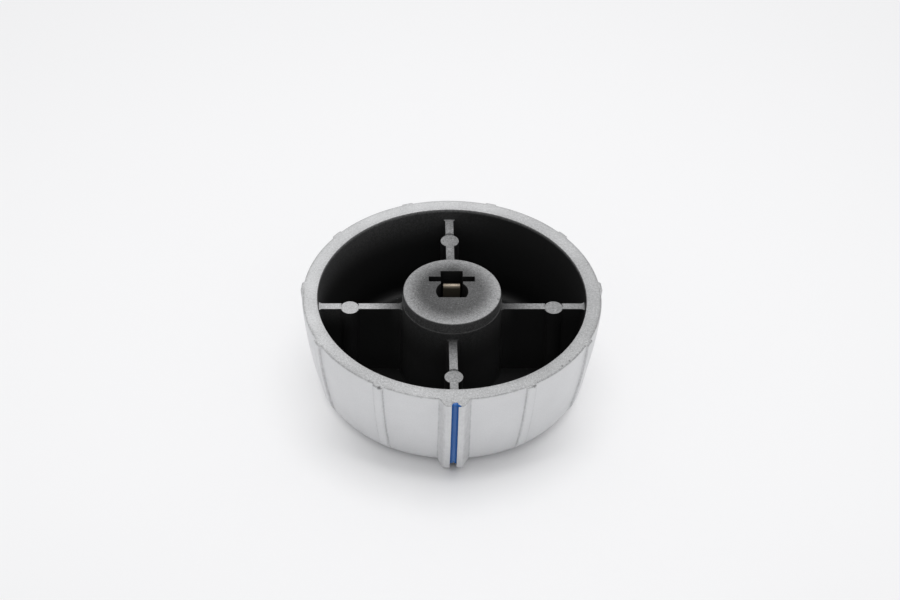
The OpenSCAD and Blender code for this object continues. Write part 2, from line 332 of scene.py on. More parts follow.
def sprayed_silver(values):
    """Silver paint sprayed on black plastic from outside, thinning out over edges and into the back."""
    material, graph = finish("sprayed_silver")
    place, x, y, z, r, up = object_place(graph)
    left, front = -x, -y
    shell, hub, ribs = sizes("shell"), sizes("hub"), sizes("ribs")
    inner_r, foot_r, slope = inside_wall(shell)
    rib_top = shell.height - ribs.drop
    post_top = rib_top - ribs.post_drop
    hub_step = hub.top - hub.step_drop

    grain = graph.noise(place, 5, 2, 0.6)
    fleck = graph.noise(place, 2.3, 2)
    cloud = graph.noise(place, 0.16, 3)
    blotch = graph.noise(place, 1.3, 3)

    # Which face of the moulding a point is on
    depth = shell.height - z
    facing_up = up.rise(0.45, 0.8)
    wall_middle = (z - shell.front_t) * slope + (foot_r + shell.wall_t / 2)
    outside = (r - wall_middle).rise(-0.2, 0.2).most(1 - z.rise(1.7, 2.2))
    inside = 1 - outside
    on_rim = facing_up * r.rise(inner_r - 0.75, inner_r - 0.45)
    on_rim = on_rim * z.rise(shell.height - 0.8, shell.height - 0.4)
    on_hub = facing_up * z.rise(hub.top - 0.8, hub.top - 0.4) * (1 - r.rise(10, 11))
    on_ribs = facing_up * inside * z.rise(rib_top - 0.8, rib_top - 0.5)
    on_ribs = on_ribs * (1 - z.rise(rib_top + 0.6, rib_top + 1.1))
    on_ledge = facing_up * r.rise(8.9, 9.05) * (1 - r.rise(9.5, 9.8))
    across_ribs = x.size().least(y.size())
    from_post = ((x.size().most(y.size()) - (inner_r - ribs.post_inset)) ** 2 + across_ribs ** 2).root()
    on_step = (1 - from_post.rise(ribs.post_d / 2 + 0.05, ribs.post_d / 2 + 0.15)) * (1 - facing_up)
    on_step = on_step * z.rise(post_top - 0.07, post_top + 0.05)
    on_floor = facing_up * (1 - z.rise(3, 6))

    # How much of the spray each face got
    rim = 0.725 - x * 0.0042 + y * 0.0022 + y.rise(5, 25) * 0.05
    rim = rim - left.rise(8, 20) * y.rise(5, 20) * 0.06 - left.rise(4, 16) * front.rise(12, 22) * 0.1
    rim = rim * (0.9 + r.rise(25.2, 26.4) * 0.1) + (cloud - 0.5) * 0.2
    end_face = 0.105 + r.rise(5.2, 9.4) * 0.37 + x * 0.004 - y.rise(2, 8) * 0.06 - front.rise(3, 8) * 0.03
    rib = 0.39 + left.rise(-3, 11) * 0.29 - front.rise(5, 19) * 0.03 - y.rise(5, 19) * 0.1
    rib = rib * (0.1 + r.rise(8.5, 17) * 0.9)
    ledge = (1 - (z - hub_step).size().rise(0, 0.25)) * 0.07
    spill = (1 - depth.rise(-0.3, 0.85)) * r.rise(20, 24) * 0.55
    haze = (1 - depth.rise(-1, 8)) * r.rise(17, 22) * (0.005 + (y * 0.4 - x).rise(-5, 25) * 0.08)
    hub_fade = (1 - depth.rise(-1.4, 9)) * r.rise(8.8, 9) * (1 - r.rise(9.8, 12))
    hub_side = (0.05 + z.rise(hub_step - 0.4, hub_step + 0.2) * 0.055) * hub_fade

    tops = (on_hub * end_face + (on_ribs + on_step) * rib + on_rim * rim + on_ledge * ledge) * SPRAY_ON_TOPS
    inner_side = (spill + haze + hub_side) * (1 - facing_up) * inside
    dust = (fleck.rise(0.66, 0.76) * 0.05 + cloud.rise(0.4, 0.7) * 0.004) * inside * facing_up
    cover = tops + inner_side + dust + outside * (1 - on_rim)

    # Specks where the paint is thin, rubbed edges and chips. The thin paint at the flutes' sides, along the
    # ridge's base and flanks and in the groove's foot is also painted shade in those creases
    speckle = (grain - 0.5) + (fleck - 0.5) * 0.6
    loose = (cover * (1 - cover) * 2.6).most(0) + outside * 0.05 + on_rim * front.rise(-8, 18) * 0.04
    thin_and_shaded = graph.node("ShaderNodeAttribute", None, "Fac", attribute_name=THIN_AND_SHADED)
    worn_and_shaded = thin_and_shaded * (blotch.rise(0.36, 0.64) * 0.15 + 0.12)
    for *middle, chip_r, gone in CHIPS:
        away = graph.node("ShaderNodeVectorMath", {0: place, 1: middle}, "Value", operation="DISTANCE")
        ragged = away + (fleck - 0.5) * chip_r
        worn_and_shaded = worn_and_shaded.most((1 - ragged.rise(chip_r * 0.2, chip_r)) * gone)
    cover = ((cover + speckle * loose) * (1 - worn_and_shaded)).within()

    silver = graph.blend((cloud - 0.5) * 0.8 + (grain - 0.5) * 0.9 + 0.5,
                         tinted(values.silver, 0.93), tinted(values.silver, 1.07))
    # Painted light and shade: the black plastic is painted paler deep down in the front half, and darker on
    # the cavity's floor and deep at the back
    in_front = 1 - y.rise(-1, 2)
    painted_plastic_shade = 0.3 + depth.rise(3, 13) * in_front * (0.7 - r.rise(9.5, 12) * 0.35)
    painted_plastic_shade = painted_plastic_shade - depth.rise(11, 16) * (1 - in_front) * 0.2
    plastic = graph.blend(painted_plastic_shade * (1 - on_floor * 0.85),
                          tinted(values.plastic, 0.35), tinted(values.plastic, 2.5))
    surface(graph, {
        "Base Color": graph.blend(cover, plastic, silver),
        "Metallic": cover * 0.45,
        "Roughness": 0.5 - cover * 0.06 + (fleck - 0.5) * 0.12,
        "Specular IOR Level": 0.25,
    }, strength=0.12, depth=0.12 * MM, height=grain * 0.6 + fleck * 0.4 + cover * 0.5)
    return material


def pointer_blue(values):
    """Glossy blue paint, paler towards its foot, and darker along its sides, where it lies thicker and where
    shade at the groove's edges is painted into its colour.
    """
    material, graph = finish("pointer_blue")
    place, x, _, z, *_ = object_place(graph)
    streak = graph.noise(stretched(graph, place, (3, 1, 0.35)), 1.6, 3)
    fleck = graph.noise(place, 3.4, 2)
    middle = 1 - (x + (streak - 0.5) * 0.25).size().rise(0.1, 0.45)
    faded = (1 - z.rise(1.5, 9)) * 0.9 + (fleck - 0.5) * 0.4
    base = graph.blend(faded.within(), tinted(values.paint), tinted(FADED_BLUE))
    # Darker blue along the sides: thicker paint, and painted shade at the groove's edges
    base = graph.blend(middle, tinted(values.paint, 0.85), base)
    surface(graph, {
        "Base Color": base,
        "Roughness": 0.4 + (fleck - 0.5) * 0.16 + (1 - z.rise(2.5, 7)) * 0.12,
        "Specular IOR Level": 0.1,
        "Coat Weight": middle * 0.8,
        "Coat Roughness": 0.25,
    }, strength=0.25, depth=0.1 * MM, height=streak)
    return material


def spring_strip(values):
    """Rolled strip with fine lines along it, painted darker and duller down in the slot as shade."""
    material, graph = finish("spring_strip")
    place, _, _, z, *_ = object_place(graph)
    rolled = graph.noise(stretched(graph, place, (14, 14, 0.7)), 1.2, 3)
    shade_noise = graph.noise(place, 1.3, 3)
    # Painted shade: below the bend's top the metal is painted darker and made duller, leaving a bright band
    # on top
    slot_shade = ((1 - z.rise(19.82, 19.98)) * 0.92 + (shade_noise - 0.5) * 0.5).within()
    base = graph.blend(slot_shade, tinted(values.metal), tinted(SHADED_METAL))
    base = graph.blend((rolled - 0.4).within() * 0.5, base, tinted(values.metal, 0.8))
    surface(graph, {
        "Base Color": base,
        "Metallic": 1 - slot_shade * 0.5,
        "Roughness": 0.38 + slot_shade * 0.2 + (rolled - 0.5) * 0.1,
    }, strength=0.15, depth=0.04 * MM, height=rolled)
    return material


# Shapes, in millimetres

# Steps round the front's corner, up the wall's bulge and over the rim's edge, and rows on the flat front
CORNER_STEPS, BULGE_STEPS, EDGE_STEPS, FRONT_ROWS = 9, 16, 4, 4
CORNER_ROWS = CORNER_STEPS + 1
FRONT_REACH = 0.96  # radius of the outermost row on the flat front, as a share of the front's
EDGE_WEAR = (0.3, 0.9, 1, 0.4)  # how thin the paint is over the rim's edge
# From this row up, the paint is shown thin, and darker in the creases as painted shade
MARKS_FROM, FOOT_ROWS = 6, 16  # row where thin paint starts, and the one where the foot ends
ROOT = 1  # how deep the hub and the ribs reach into the front
WELD, SEAM = 1e-7, 2e-6  # points closer than this are one, in a solid and between bays, in metres


def keep(name, points, faces, attribute=None):
    """A new object with a mesh of these points and faces, in place of an earlier one of its name."""
    if name in bpy.data.objects:
        bpy.data.objects.remove(bpy.data.objects[name])
    mesh = bpy.data.meshes.new(name)
    mesh.from_pydata((np.asarray(points, float) * MM).tolist(), [], faces)
    if attribute is not None:
        layer = mesh.attributes.new(THIN_AND_SHADED, "FLOAT", "POINT")
        layer.data.foreach_set("value", np.asarray(attribute, np.float32).ravel())
    made = bpy.data.objects.new(name, mesh)
    bpy.context.scene.collection.objects.link(made)
    return made


def outward(obj):
    """Turns a closed mesh's faces outwards."""
    shape = bmesh.new()
    shape.from_mesh(obj.data)
    bmesh.ops.remove_doubles(shape, verts=shape.verts, dist=WELD)
    bmesh.ops.recalc_face_normals(shape, faces=shape.faces)
    shape.to_mesh(obj.data)
    shape.free()
    return obj


def settle(obj):
    """Turns an object with modifiers into a plain mesh."""
    shown = obj.evaluated_get(bpy.context.evaluated_depsgraph_get())
    mesh = bpy.data.meshes.new_from_object(shown)
    obj.modifiers.clear()
    old, obj.data = obj.data, mesh
    bpy.data.meshes.remove(old)
    obj.data.name = obj.name
    return obj


def combine(obj, others, operation="UNION"):
    """Joins solids to an object, or cuts them out of it, and removes them."""
    for other in others:
        step = obj.modifiers.new(other.name, "BOOLEAN")
        step.operation = operation
        step.solver = "MANIFOLD"
        step.object = other
    settle(obj)
    for other in others:
        bpy.data.objects.remove(other)
    if not obj.data.polygons:
        raise RuntimeError(f"{obj.name} came out empty")
    return obj


def smooth(obj, sharp):
    """Smooth shading that follows the large faces and stops at sharp edges."""
    obj.data.shade_smooth()
    obj.data.set_sharp_from_angle(angle=sharp)
    step = obj.modifiers.new("large faces", "WEIGHTED_NORMAL")
    step.keep_sharp = True
    return settle(obj)


def arc(centre, r, start, stop, steps):
    turns = np.linspace(start, stop, steps + 1)
    return np.stack([centre[0] + r * np.cos(turns), centre[1] + r * np.sin(turns)], 1)


def bulge_centre(shell):
    return np.array([shell.rim_r - shell.bulge_r * cos(shell.rim_lean),
                     shell.height + shell.bulge_r * sin(shell.rim_lean)])


def inside_wall(shell):
    """Radius of the cavity at the rim and at the floor, and how much it grows with height."""
    centre = bulge_centre(shell)
    rim_r = shell.rim_r - shell.wall_t
    foot_r = centre[0] + sqrt(shell.bulge_r ** 2 - (shell.front_t - centre[1]) ** 2) - shell.foot_t
    return rim_r, foot_r, (rim_r - foot_r) / (shell.height - shell.front_t)


def wall_profile(shell, grow, front_r, top):
    """Radius and height up the outside, from the front face to the rim, with the wall moved outwards."""
    centre = bulge_centre(shell)
    side = shell.bulge_r + grow

    def tucked(r, z):
        return np.array([centre[0] + sqrt((side - r) ** 2 - (z - centre[1]) ** 2), z])

    front = tucked(front_r, front_r)
    edge = tucked(shell.edge_r, top - shell.edge_r)
    foot = atan2(*(front - centre)[::-1])
    shoulder = atan2(*(edge - centre)[::-1])
    return np.concatenate([
        arc(front, front_r, -pi / 2, foot, CORNER_STEPS),
        arc(centre, side, foot, shoulder, BULGE_STEPS)[1:],
        arc(edge, shell.edge_r, shoulder, pi / 2, EDGE_STEPS)[1:],
    ])


def cavity_profile(shell, outer_r):
    """Radius and height from the rim's flat down the inside to the middle of the floor."""
    rim_r, foot_r, slope = inside_wall(shell)
    lean = atan(slope)
    e = shell.inner_edge_r
    flat = np.linspace(outer_r - 0.3, rim_r + e, 4)[:-1]
    edge = arc((rim_r + e, shell.height - e), e, pi / 2, pi + lean, 4)
    corner_x = foot_r - shell.cavity_r * (1 - sin(lean)) / cos(lean)
    corner = arc((corner_x, shell.front_t + shell.cavity_r), shell.cavity_r, -lean, -pi / 2, 6)
    wall = np.linspace(edge[-1], corner[0], 9)[1:-1]
    floor = np.linspace(corner_x, 0, 5)[1:]
    return np.concatenate([lift(flat, shell.height), edge, wall, corner, lift(floor, shell.front_t)])


def grid(columns, rows, first=0):
    """Faces between points that follow each other column by column in one list."""
    corners = [first + i * rows + j for i in range(columns - 1) for j in range(rows - 1)]
    return [(a, a + rows, a + rows + 1, a + 1) for a in corners]


def fluted_sector(name, shell, strip, columns, thin_and_shaded):
    """A sector of the bowl. A column has its turn about the axis, its offset from that plane
    and how far it stands out of the wall, from 0 to the whole of the strip's height. The last argument
    has, for each column, how far its paint thins up the wall and how much more at the foot; the darker
    tone it gives in the creases is painted shade as well as paint that thins."""
    base = wall_profile(shell, 0, shell.corner_r, shell.height)
    raised = wall_profile(shell, strip.proud, strip.corner_r, shell.height - strip.drop)
    # A strip's front end doesn't dip inside the plain corner
    sunk = raised[:, 0] < np.interp(raised[:, 1], base[:, 1], base[:, 0])
    sunk[CORNER_ROWS:] = False
    raised[sunk] = base[sunk]
    inner = cavity_profile(shell, base[-1][0])
    front = np.linspace(0, 1, FRONT_ROWS)
    points = []
    for turn, offset, rise in columns:
        plain = np.sqrt(base[:, 0] ** 2 - offset ** 2)
        along = plain + (raised[:, 0] - plain) * rise
        z = base[:, 1] + (raised[:, 1] - base[:, 1]) * rise
        front_edge = sqrt((base[0][0] * FRONT_REACH) ** 2 - offset ** 2)
        side = atan2(offset, along[-1])
        xs = np.concatenate([front * front_edge, along, inner[:, 0] * cos(side)])
        ys = np.concatenate([front * offset, np.full(len(along), offset), inner[:, 0] * sin(side)])
        zs = np.concatenate([front * 0, z, inner[:, 1]])
        points.append(np.stack([xs * cos(turn) - ys * sin(turn), xs * sin(turn) + ys * cos(turn), zs], 1))
    points = np.array(points)
    rows = points.shape[1]
    over_edge = np.zeros(rows)
    edge_first = FRONT_ROWS + len(base) - EDGE_STEPS
    over_edge[edge_first:edge_first + EDGE_STEPS] = EDGE_WEAR
    row = np.arange(rows)
    up_the_wall = (row >= MARKS_FROM) & (row < rows - len(inner))
    at_the_foot = (row >= MARKS_FROM) & (row < FOOT_ROWS)
    along, foot = np.asarray(thin_and_shaded).T[:, :, None]
    worn_and_shaded = np.maximum(along * up_the_wall, over_edge) + foot * at_the_foot
    return keep(name, points.reshape(-1, 3), grid(len(columns), rows), worn_and_shaded)


# Across half a flute: place and height, as shares of its half-width and height, and how thin the paint is,
# which at the flute's foot also stands for painted shade in the crease
FLUTE_STEPS = [
    (0, 1, 0), (0.55, 1, 0.05), (0.82, 1, 0.4), (0.90, 0.97, 0.55), (0.955, 0.89, 0.5), (0.985, 0.77, 0.5),
    (1.0, 0.6, 0.6), (1.02, 0.36, 0.9), (1.05, 0.18, 1), (1.10, 0.07, 0.6), (1.17, 0.015, 0.2), (1.26, 0, 0),
]


def mirrored(steps):
    """Columns on both sides of a middle one, from left to right."""
    return [(-t, *rest) for t, *rest in steps[:0:-1]] + [tuple(s) for s in steps]


def bay(name, shell, strip, steps, thin_and_shaded, reach, count, turn=0):
    """A raised strip with plain wall on both sides, as far as a turn about the axis."""
    front_r = wall_profile(shell, 0, shell.corner_r, shell.height)[0][0]
    clear = asin(steps[-1][0] / front_r)  # turn that clears the strip's edge, down to the front face
    side = np.linspace(clear, reach, count)[1:]
    columns = [(turn - t, 0, 0) for t in side[::-1]] + [(turn, *step) for step in steps]
    columns += [(turn + t, 0, 0) for t in side]
    plain = [(0, 0)] * len(side)
    return fluted_sector(name, shell, strip, columns, plain + thin_and_shaded + plain)


def flute_bay(shell, flutes, pitch):
    """One flute with half of the plain wall on either side of it, towards +X."""
    both = mirrored(FLUTE_STEPS)
    steps = [(t * flutes.width / 2, rise) for t, rise, _ in both]
    return bay("moulding", shell, flutes, steps, [(wear_and_shade, 0) for *_, wear_and_shade in both], pitch / 2, count=9)


GROOVE_POWER = 4  # how square the groove is
GROOVE_STEPS = (0, 0.3, 0.52, 0.68, 0.79, 0.87, 0.93, 0.97, 0.99, 1, 1.03, 1.08)
BASE_STEPS = (0.45, 0.3, 0.2, 0.12, 0.06, 0, -0.05, -0.1, -0.17, -0.3)
RIDGE_EASE, EASE_STEPS = (0.38, 0.1), 39  # half-width of the easing at the crown's edge and at the base
# How thin the paint is on the ridge's crown, and how much darker it is painted along the ridge's base, on its
# flanks and in the groove's foot, as thin paint and as painted shade
BASE_SHADE_AND_WEAR, BASE_LINE_HALF = 1.2, 0.18
FLANK_SHADE_AND_WEAR, CROWN_WEAR, GROOVE_FOOT_SHADE_AND_WEAR = 0.55, 0.3, 2.2
# The pointer's paint: how far it runs past its end, how hollow it lies and how thick the smear is, in mm
PAINT_RUN, PAINT_HOLLOW, SMEAR_T = 0.2, 0.16, 0.05


def groove_share(pointer, t):
    """Depth of the groove at an offset, as a share of the ridge's height."""
    u = min(1, abs(t) / (pointer.groove_w / 2))
    return pointer.groove_depth / pointer.proud * sqrt(1 - u ** GROOVE_POWER)


def ridge_share(pointer, t):
    """Height of the ridge at an offset, as a share of its full height, with its crown's edges eased."""
    crown, base = pointer.crown_w / 2, pointer.crown_w / 2 + pointer.flank_w
    ease = np.linspace(-1, 1, EASE_STEPS) * np.interp(abs(t), [crown, base], RIDGE_EASE)
    return float(np.mean(np.interp(abs(t) + ease, [crown, base], [1, 0])))


def pointer_bay(shell, pointer, reach):
    """The ridge with its groove, and plain wall on both sides up to the first bays."""
    half = pointer.groove_w / 2
    crown = pointer.crown_w / 2
    base = crown + pointer.flank_w
    offsets = [half * u for u in GROOVE_STEPS] + [half + 0.15, crown - 0.7]
    offsets += [*np.linspace(crown - 0.45, crown + 0.5, 11), *(base - d for d in BASE_STEPS)]
    steps = mirrored([(t, ridge_share(pointer, t) - groove_share(pointer, t)) for t in offsets])

    # Thin paint on the crown; along the base, on the flanks and in the groove's foot it is thin paint and
    # painted shade
    def thinned_and_shaded(t):
        line = BASE_SHADE_AND_WEAR * max(0, 1 - abs(t - base) / BASE_LINE_HALF)
        wear_and_shade = CROWN_WEAR if t <= crown - 0.1 else FLANK_SHADE_AND_WEAR if t < base else 0
        return max(line, wear_and_shade), GROOVE_FOOT_SHADE_AND_WEAR * (t < half * 0.98)

    thin_and_shaded = [thinned_and_shaded(abs(t)) for t, _ in steps]
    strip = SimpleNamespace(proud=pointer.proud, corner_r=pointer.corner_r, drop=0)
    return bay("pointer_bay", shell, strip, steps, thin_and_shaded, reach, count=6, turn=-pi / 2)


def ring_tree():
    """Geometry nodes that set copies of a mesh round the upright axis, with a closing piece between them."""
    tree = bpy.data.node_groups.new("copies_round_the_axis", "GeometryNodeTree")
    graph = Graph(tree)
    inputs = {"Geometry": "Geometry", "Copies": "Int", "First angle": "Float", "Pitch": "Float",
              "Closing piece": "Object", "Seam": "Float", "Finish": "Material"}
    sockets = {}
    for name, kind in inputs.items():
        made = tree.interface.new_socket(name, in_out="INPUT", socket_type=f"NodeSocket{kind}")
        sockets[name] = made.identifier
    tree.interface.new_socket("Geometry", in_out="OUTPUT", socket_type="NodeSocketGeometry")
    piece = graph.node("NodeGroupInput")
    places = graph.node("GeometryNodePoints", {"Count": piece.other("Copies")})
    turn = graph.node("GeometryNodeInputIndex") * piece.other("Pitch") + piece.other("First angle")
    turned = graph.node("ShaderNodeCombineXYZ", {"Z": turn})
    copies = graph.node("GeometryNodeInstanceOnPoints",
                        {"Points": places, "Instance": piece, "Rotation": turned})
    closing = graph.node("GeometryNodeObjectInfo", {"Object": piece.other("Closing piece")}, "Geometry")
    ring = graph.node("GeometryNodeJoinGeometry", {"Geometry": copies})
    tree.links.new(closing.socket, ring.socket.node.inputs["Geometry"])
    solid = graph.node("GeometryNodeRealizeInstances", {"Geometry": ring})
    sealed = graph.node("GeometryNodeMergeByDistance", {"Geometry": solid, "Distance": piece.other("Seam")})
    dressed = graph.node("GeometryNodeSetMaterial", {"Geometry": sealed, "Material": piece.other("Finish")})
    graph.node("NodeGroupOutput", {"Geometry": dressed})
    return tree, sockets


def set_round(obj, copies, first, pitch, material, closing=None):
    """Repeats an object's mesh round the axis and keeps the result as its mesh."""
    tree, sockets = ring_tree()
    step = obj.modifiers.new("round the axis", "NODES")
    step.node_group = tree
    for name, value in (("Copies", copies), ("First angle", first), ("Pitch", pitch),
                        ("Closing piece", closing), ("Seam", SEAM), ("Finish", material)):
        step[sockets[name]] = value
    settle(obj)
    if closing:
        bpy.data.objects.remove(closing)


def offset_loop(loop, by):
    """A closed loop of plan points moved to its right by a distance, with mitred corners."""
    loop = np.asarray(loop, float)
    ahead = np.roll(loop, -1, 0) - loop
    ahead /= np.linalg.norm(ahead, axis=1)[:, None]
    after = np.stack([ahead[:, 1], -ahead[:, 0]], 1)
    before = np.roll(after, 1, 0)
    return loop + by * (after + before) / (1 + np.sum(after * before, 1))[:, None]


def lift(loop, z):
    """Plan points, or radii, at a height."""
    return np.column_stack([loop, np.full(len(loop), z)])


def stack(rings, first=0):
    """Faces between closed rings of equally many points that follow each other in one list."""
    faces = []
    count = len(rings[0])
    for start in range(first, first + (len(rings) - 1) * count, count):
        for i in range(count):
            a, b = start + i, start + (i + 1) % count
            faces.append((a, b, b + count, a + count))
    return faces


def prism(name, rings):
    """A closed solid through rings, one above the other, with flat ends."""
    count = len(rings[0])
    last = (len(rings) - 1) * count
    faces = stack(rings) + [tuple(range(count))[::-1], tuple(range(last, last + count))]
    return outward(keep(name, np.concatenate(rings), faces))


def eased_top(loop, low, high, edge_r):
    """Rings of an upright solid whose top edge is rounded."""
    rings = [lift(loop, low), lift(loop, high - edge_r)]
    for turn in (pi / 6, pi / 3, pi / 2):
        rings.append(lift(offset_loop(loop, -edge_r * (1 - cos(turn))), high - edge_r * (1 - sin(turn))))
    return rings


def circle(centre_x, r, count):
    return arc((centre_x, 0), r, 0, 2 * pi, count)[:-1]


def socket_mouth(hub, slot_front, slot_back):
    """Outline of the D-shaped socket with the clip's pocket and slot, and which points the slot adds."""
    flat = hub.socket_across - hub.socket_r
    low = atan2(-flat, sqrt(hub.socket_r ** 2 - flat ** 2))
    half, arm, back = hub.pocket_w / 2, hub.slot_l / 2, hub.socket_r + hub.pocket_reach
    round_side = arc((0, 0), hub.socket_r, low, acos(half / hub.socket_r), 14)
    right = [(x, y, False) for x, y in round_side]
    right += [(half, slot_front, False), (arm, slot_front, True), (arm, slot_back, True),
              (half, slot_back, False), (half, back, False)]
    left = [(-x, y, added) for x, y, added in right[::-1]]
    return np.array([(x, y) for x, y, _ in right + left]), [added for *_, added in right + left]


def hub_solid(shell, hub):
    """The hub as a closed solid, rooted in the front, with the socket open at its end face."""
    slot_front, slot_back = CLIP_LOW.y / MM, CLIP_HIGH.y / MM
    root = shell.front_t - ROOT
    step = hub.top - hub.step_drop
    step_r = hub.radius + hub.step_w
    e = hub.edge_r
    side = [(step_r + (step - root) * tan(hub.draft), root),
            (step_r + 6 * tan(hub.draft), step - 6), (step_r + 0.2 * tan(hub.draft), step - 0.2),
            (step_r, step - 0.06), (step_r - 0.02, step - 0.015), (step_r - 0.06, step),
            (hub.radius + 0.03, step + 0.005), (hub.radius, step + 0.05), (hub.radius, hub.top - e - 0.3)]
    side += list(arc((hub.radius - e, hub.top - e), e, 0, pi / 2, 5))
    columns = 128
    rings = [lift(circle(0, r, columns), z) for r, z in side]
    points = list(np.concatenate(rings))
    faces = stack(rings) + [tuple(range(columns))[::-1]]
    rim = list(range(len(points) - columns, len(points)))

    mouth, added = socket_mouth(hub, slot_front, slot_back)
    m = hub.mouth_r
    slot_z, floor_z = hub.top - hub.slot_depth, hub.top - hub.socket_depth
    levels = [lift(offset_loop(mouth, m), hub.top), lift(offset_loop(mouth, m * 0.3), hub.top - m * 0.3),
              lift(mouth, hub.top - m), lift(mouth, slot_z)]
    first = len(points)
    points += list(np.concatenate(levels))
    count = len(mouth)
    faces += stack(levels, first)

    edge = list(range(first, first + count))
    loops = [[Vector(points[k]) for k in loop] for loop in (rim, edge)]
    faces += [tuple((rim + edge)[k] for k in tri) for tri in tessellate_polygon(loops)]

    bottom = first + 3 * count
    deep = [k for k in range(count) if not added[k]]
    below = {k: len(points) + n for n, k in enumerate(deep)}
    points += [(mouth[k][0], mouth[k][1], floor_z) for k in deep]
    for a, b in zip(deep, deep[1:] + deep[:1]):
        faces.append((bottom + a, bottom + b, below[b], below[a]))
    faces.append(tuple(below[k] for k in deep))
    for k in range(count):
        if added[k] and added[(k + 1) % count]:
            faces.append(tuple(bottom + (k + n) % count for n in (-1, 0, 1, 2)))
    return outward(keep("hub", points, faces))


def rib_solid(shell, hub, ribs):
    """One rib towards +X with its ejector post, topped by the flat mark of the pin."""
    rib_z = shell.height - ribs.drop
    post_z = rib_z - ribs.post_drop
    root_z = shell.front_t - ROOT
    half, flare = ribs.thickness / 2, ribs.flare
    step = hub.top - hub.step_drop
    hub_r = hub.radius + hub.step_w + (step - rib_z) * tan(hub.draft)
    rim_r, _, slope = inside_wall(shell)
    wall_r = rim_r - ribs.drop * slope
    bend, bend_half = flare * 0.3, half + flare * 0.42
    side = [(hub_r - 1, half + flare + 1), (hub_r + bend, bend_half), (hub_r + flare, half),
            (wall_r - flare, half), (wall_r - bend, bend_half), (wall_r + 1.1, half + flare + 0.7)]
    loop = np.array([(x, -y) for x, y in side] + side[::-1])
    rings = eased_top(loop, root_z, rib_z, ribs.edge_r)
    at_wall = loop[:, 0] > wall_r - 2
    rings[0][at_wall, 0] -= (rib_z - root_z) * slope
    rib = prism("ribs", rings)
    mark = circle(rim_r - ribs.post_inset, ribs.post_d / 2, 48)
    combine(rib, [prism("pin_mark", [lift(mark, post_z), lift(mark, rib_z + 1)])], "DIFFERENCE")
    post = prism("post", eased_top(mark, root_z, post_z, ribs.edge_r))
    return combine(rib, [post])


def clip_solid(clip):
    """The clip's hairpin: a front leg, a round bend, and a back leg that widens into shoulders."""
    front, back = CLIP_LOW.y / MM, CLIP_HIGH.y / MM
    low, high = CLIP_LOW.z / MM, CLIP_HIGH.z / MM
    t, half = clip.thickness, clip.strip_w / 2
    arm = CLIP_HIGH.x / MM
    bend_r = (back - front) / 2
    bend = (front + bend_r, high - bend_r)
    outline = []
    for inset in (0, t):
        outline.append([(front + inset, low + clip.leg_gap), *arc(bend, bend_r - inset, pi, 0, 24),
                        (back - inset, low + clip.shoulder_h), (back - inset, low)])
    points = []
    for (oy, oz), (iy, iz) in zip(*outline):
        points += [(-half, oy, oz), (half, oy, oz), (half, iy, iz), (-half, iy, iz)]
    last = len(outline[0]) - 2
    faces = [(3, 2, 1, 0), tuple(4 * (last + 1) + k for k in range(4))]
    for row in range(last + 1):
        for k in range(4):
            if row == last and k in (1, 3):
                continue
            a, b = 4 * row + k, 4 * row + (k + 1) % 4
            faces.append((a, b, b + 4, a + 4))
    for k, x in ((1, arm), (3, -arm)):
        a, b = 4 * last + k, 4 * last + (k + 1) % 4
        root = [a, b, b + 4, a + 4]
        tip = [len(points) + n for n in range(4)]
        points += [(x, *points[corner][1:]) for corner in root]
        faces.append(tuple(tip))
        faces += [(root[n], root[(n + 1) % 4], tip[(n + 1) % 4], tip[n]) for n in range(4)]
    made = outward(keep("shaft_clip", points, faces))
    ease = made.modifiers.new("edges", "BEVEL")
    ease.width = clip.edge_r * MM
    ease.segments = 2
    ease.limit_method = "ANGLE"
    ease.angle_limit = radians(40)
    return settle(made)


def sheet_solid(name, sheets):
    """A closed solid between an upper and a lower grid of points of the same size, given in pairs."""
    points, faces = [], []
    for upper, lower in sheets:
        columns, rows = upper.shape[:2]
        first, size = len(points), columns * rows
        points += [*upper.reshape(-1, 3), *lower.reshape(-1, 3)]
        cells = grid(columns, rows, first)
        faces += cells + [tuple(size + k for k in cell[::-1]) for cell in cells]
        border = list(range(rows)) + [i * rows + rows - 1 for i in range(1, columns)]
        border += [(columns - 1) * rows + j for j in range(rows - 2, -1, -1)]
        border += [i * rows for i in range(columns - 2, 0, -1)]
        border = [first + k for k in border]
        faces += [(a, b, size + b, size + a) for a, b in zip(border, border[1:] + border[:1])]
    return outward(keep(name, points, faces))


def on_ridge(shell, pointer, offset, row, proud):
    """Points at rows of the wall's outline, at an offset from the ridge's middle, some way above the wall."""
    base = wall_profile(shell, 0, shell.corner_r, shell.height)
    raised = wall_profile(shell, pointer.proud, pointer.corner_r, shell.height)
    plain_r, plain_z, raised_r, raised_z = (np.interp(row, np.arange(len(base)), along)
                                            for along in (*base.T, *raised.T))
    plain_x = np.sqrt(plain_r ** 2 - offset ** 2)
    part = proud / pointer.proud
    x = plain_x + (raised_r - plain_x) * part
    z = plain_z + (raised_z - plain_z) * part
    return np.stack([np.broadcast_to(offset, x.shape), -x, z], -1)


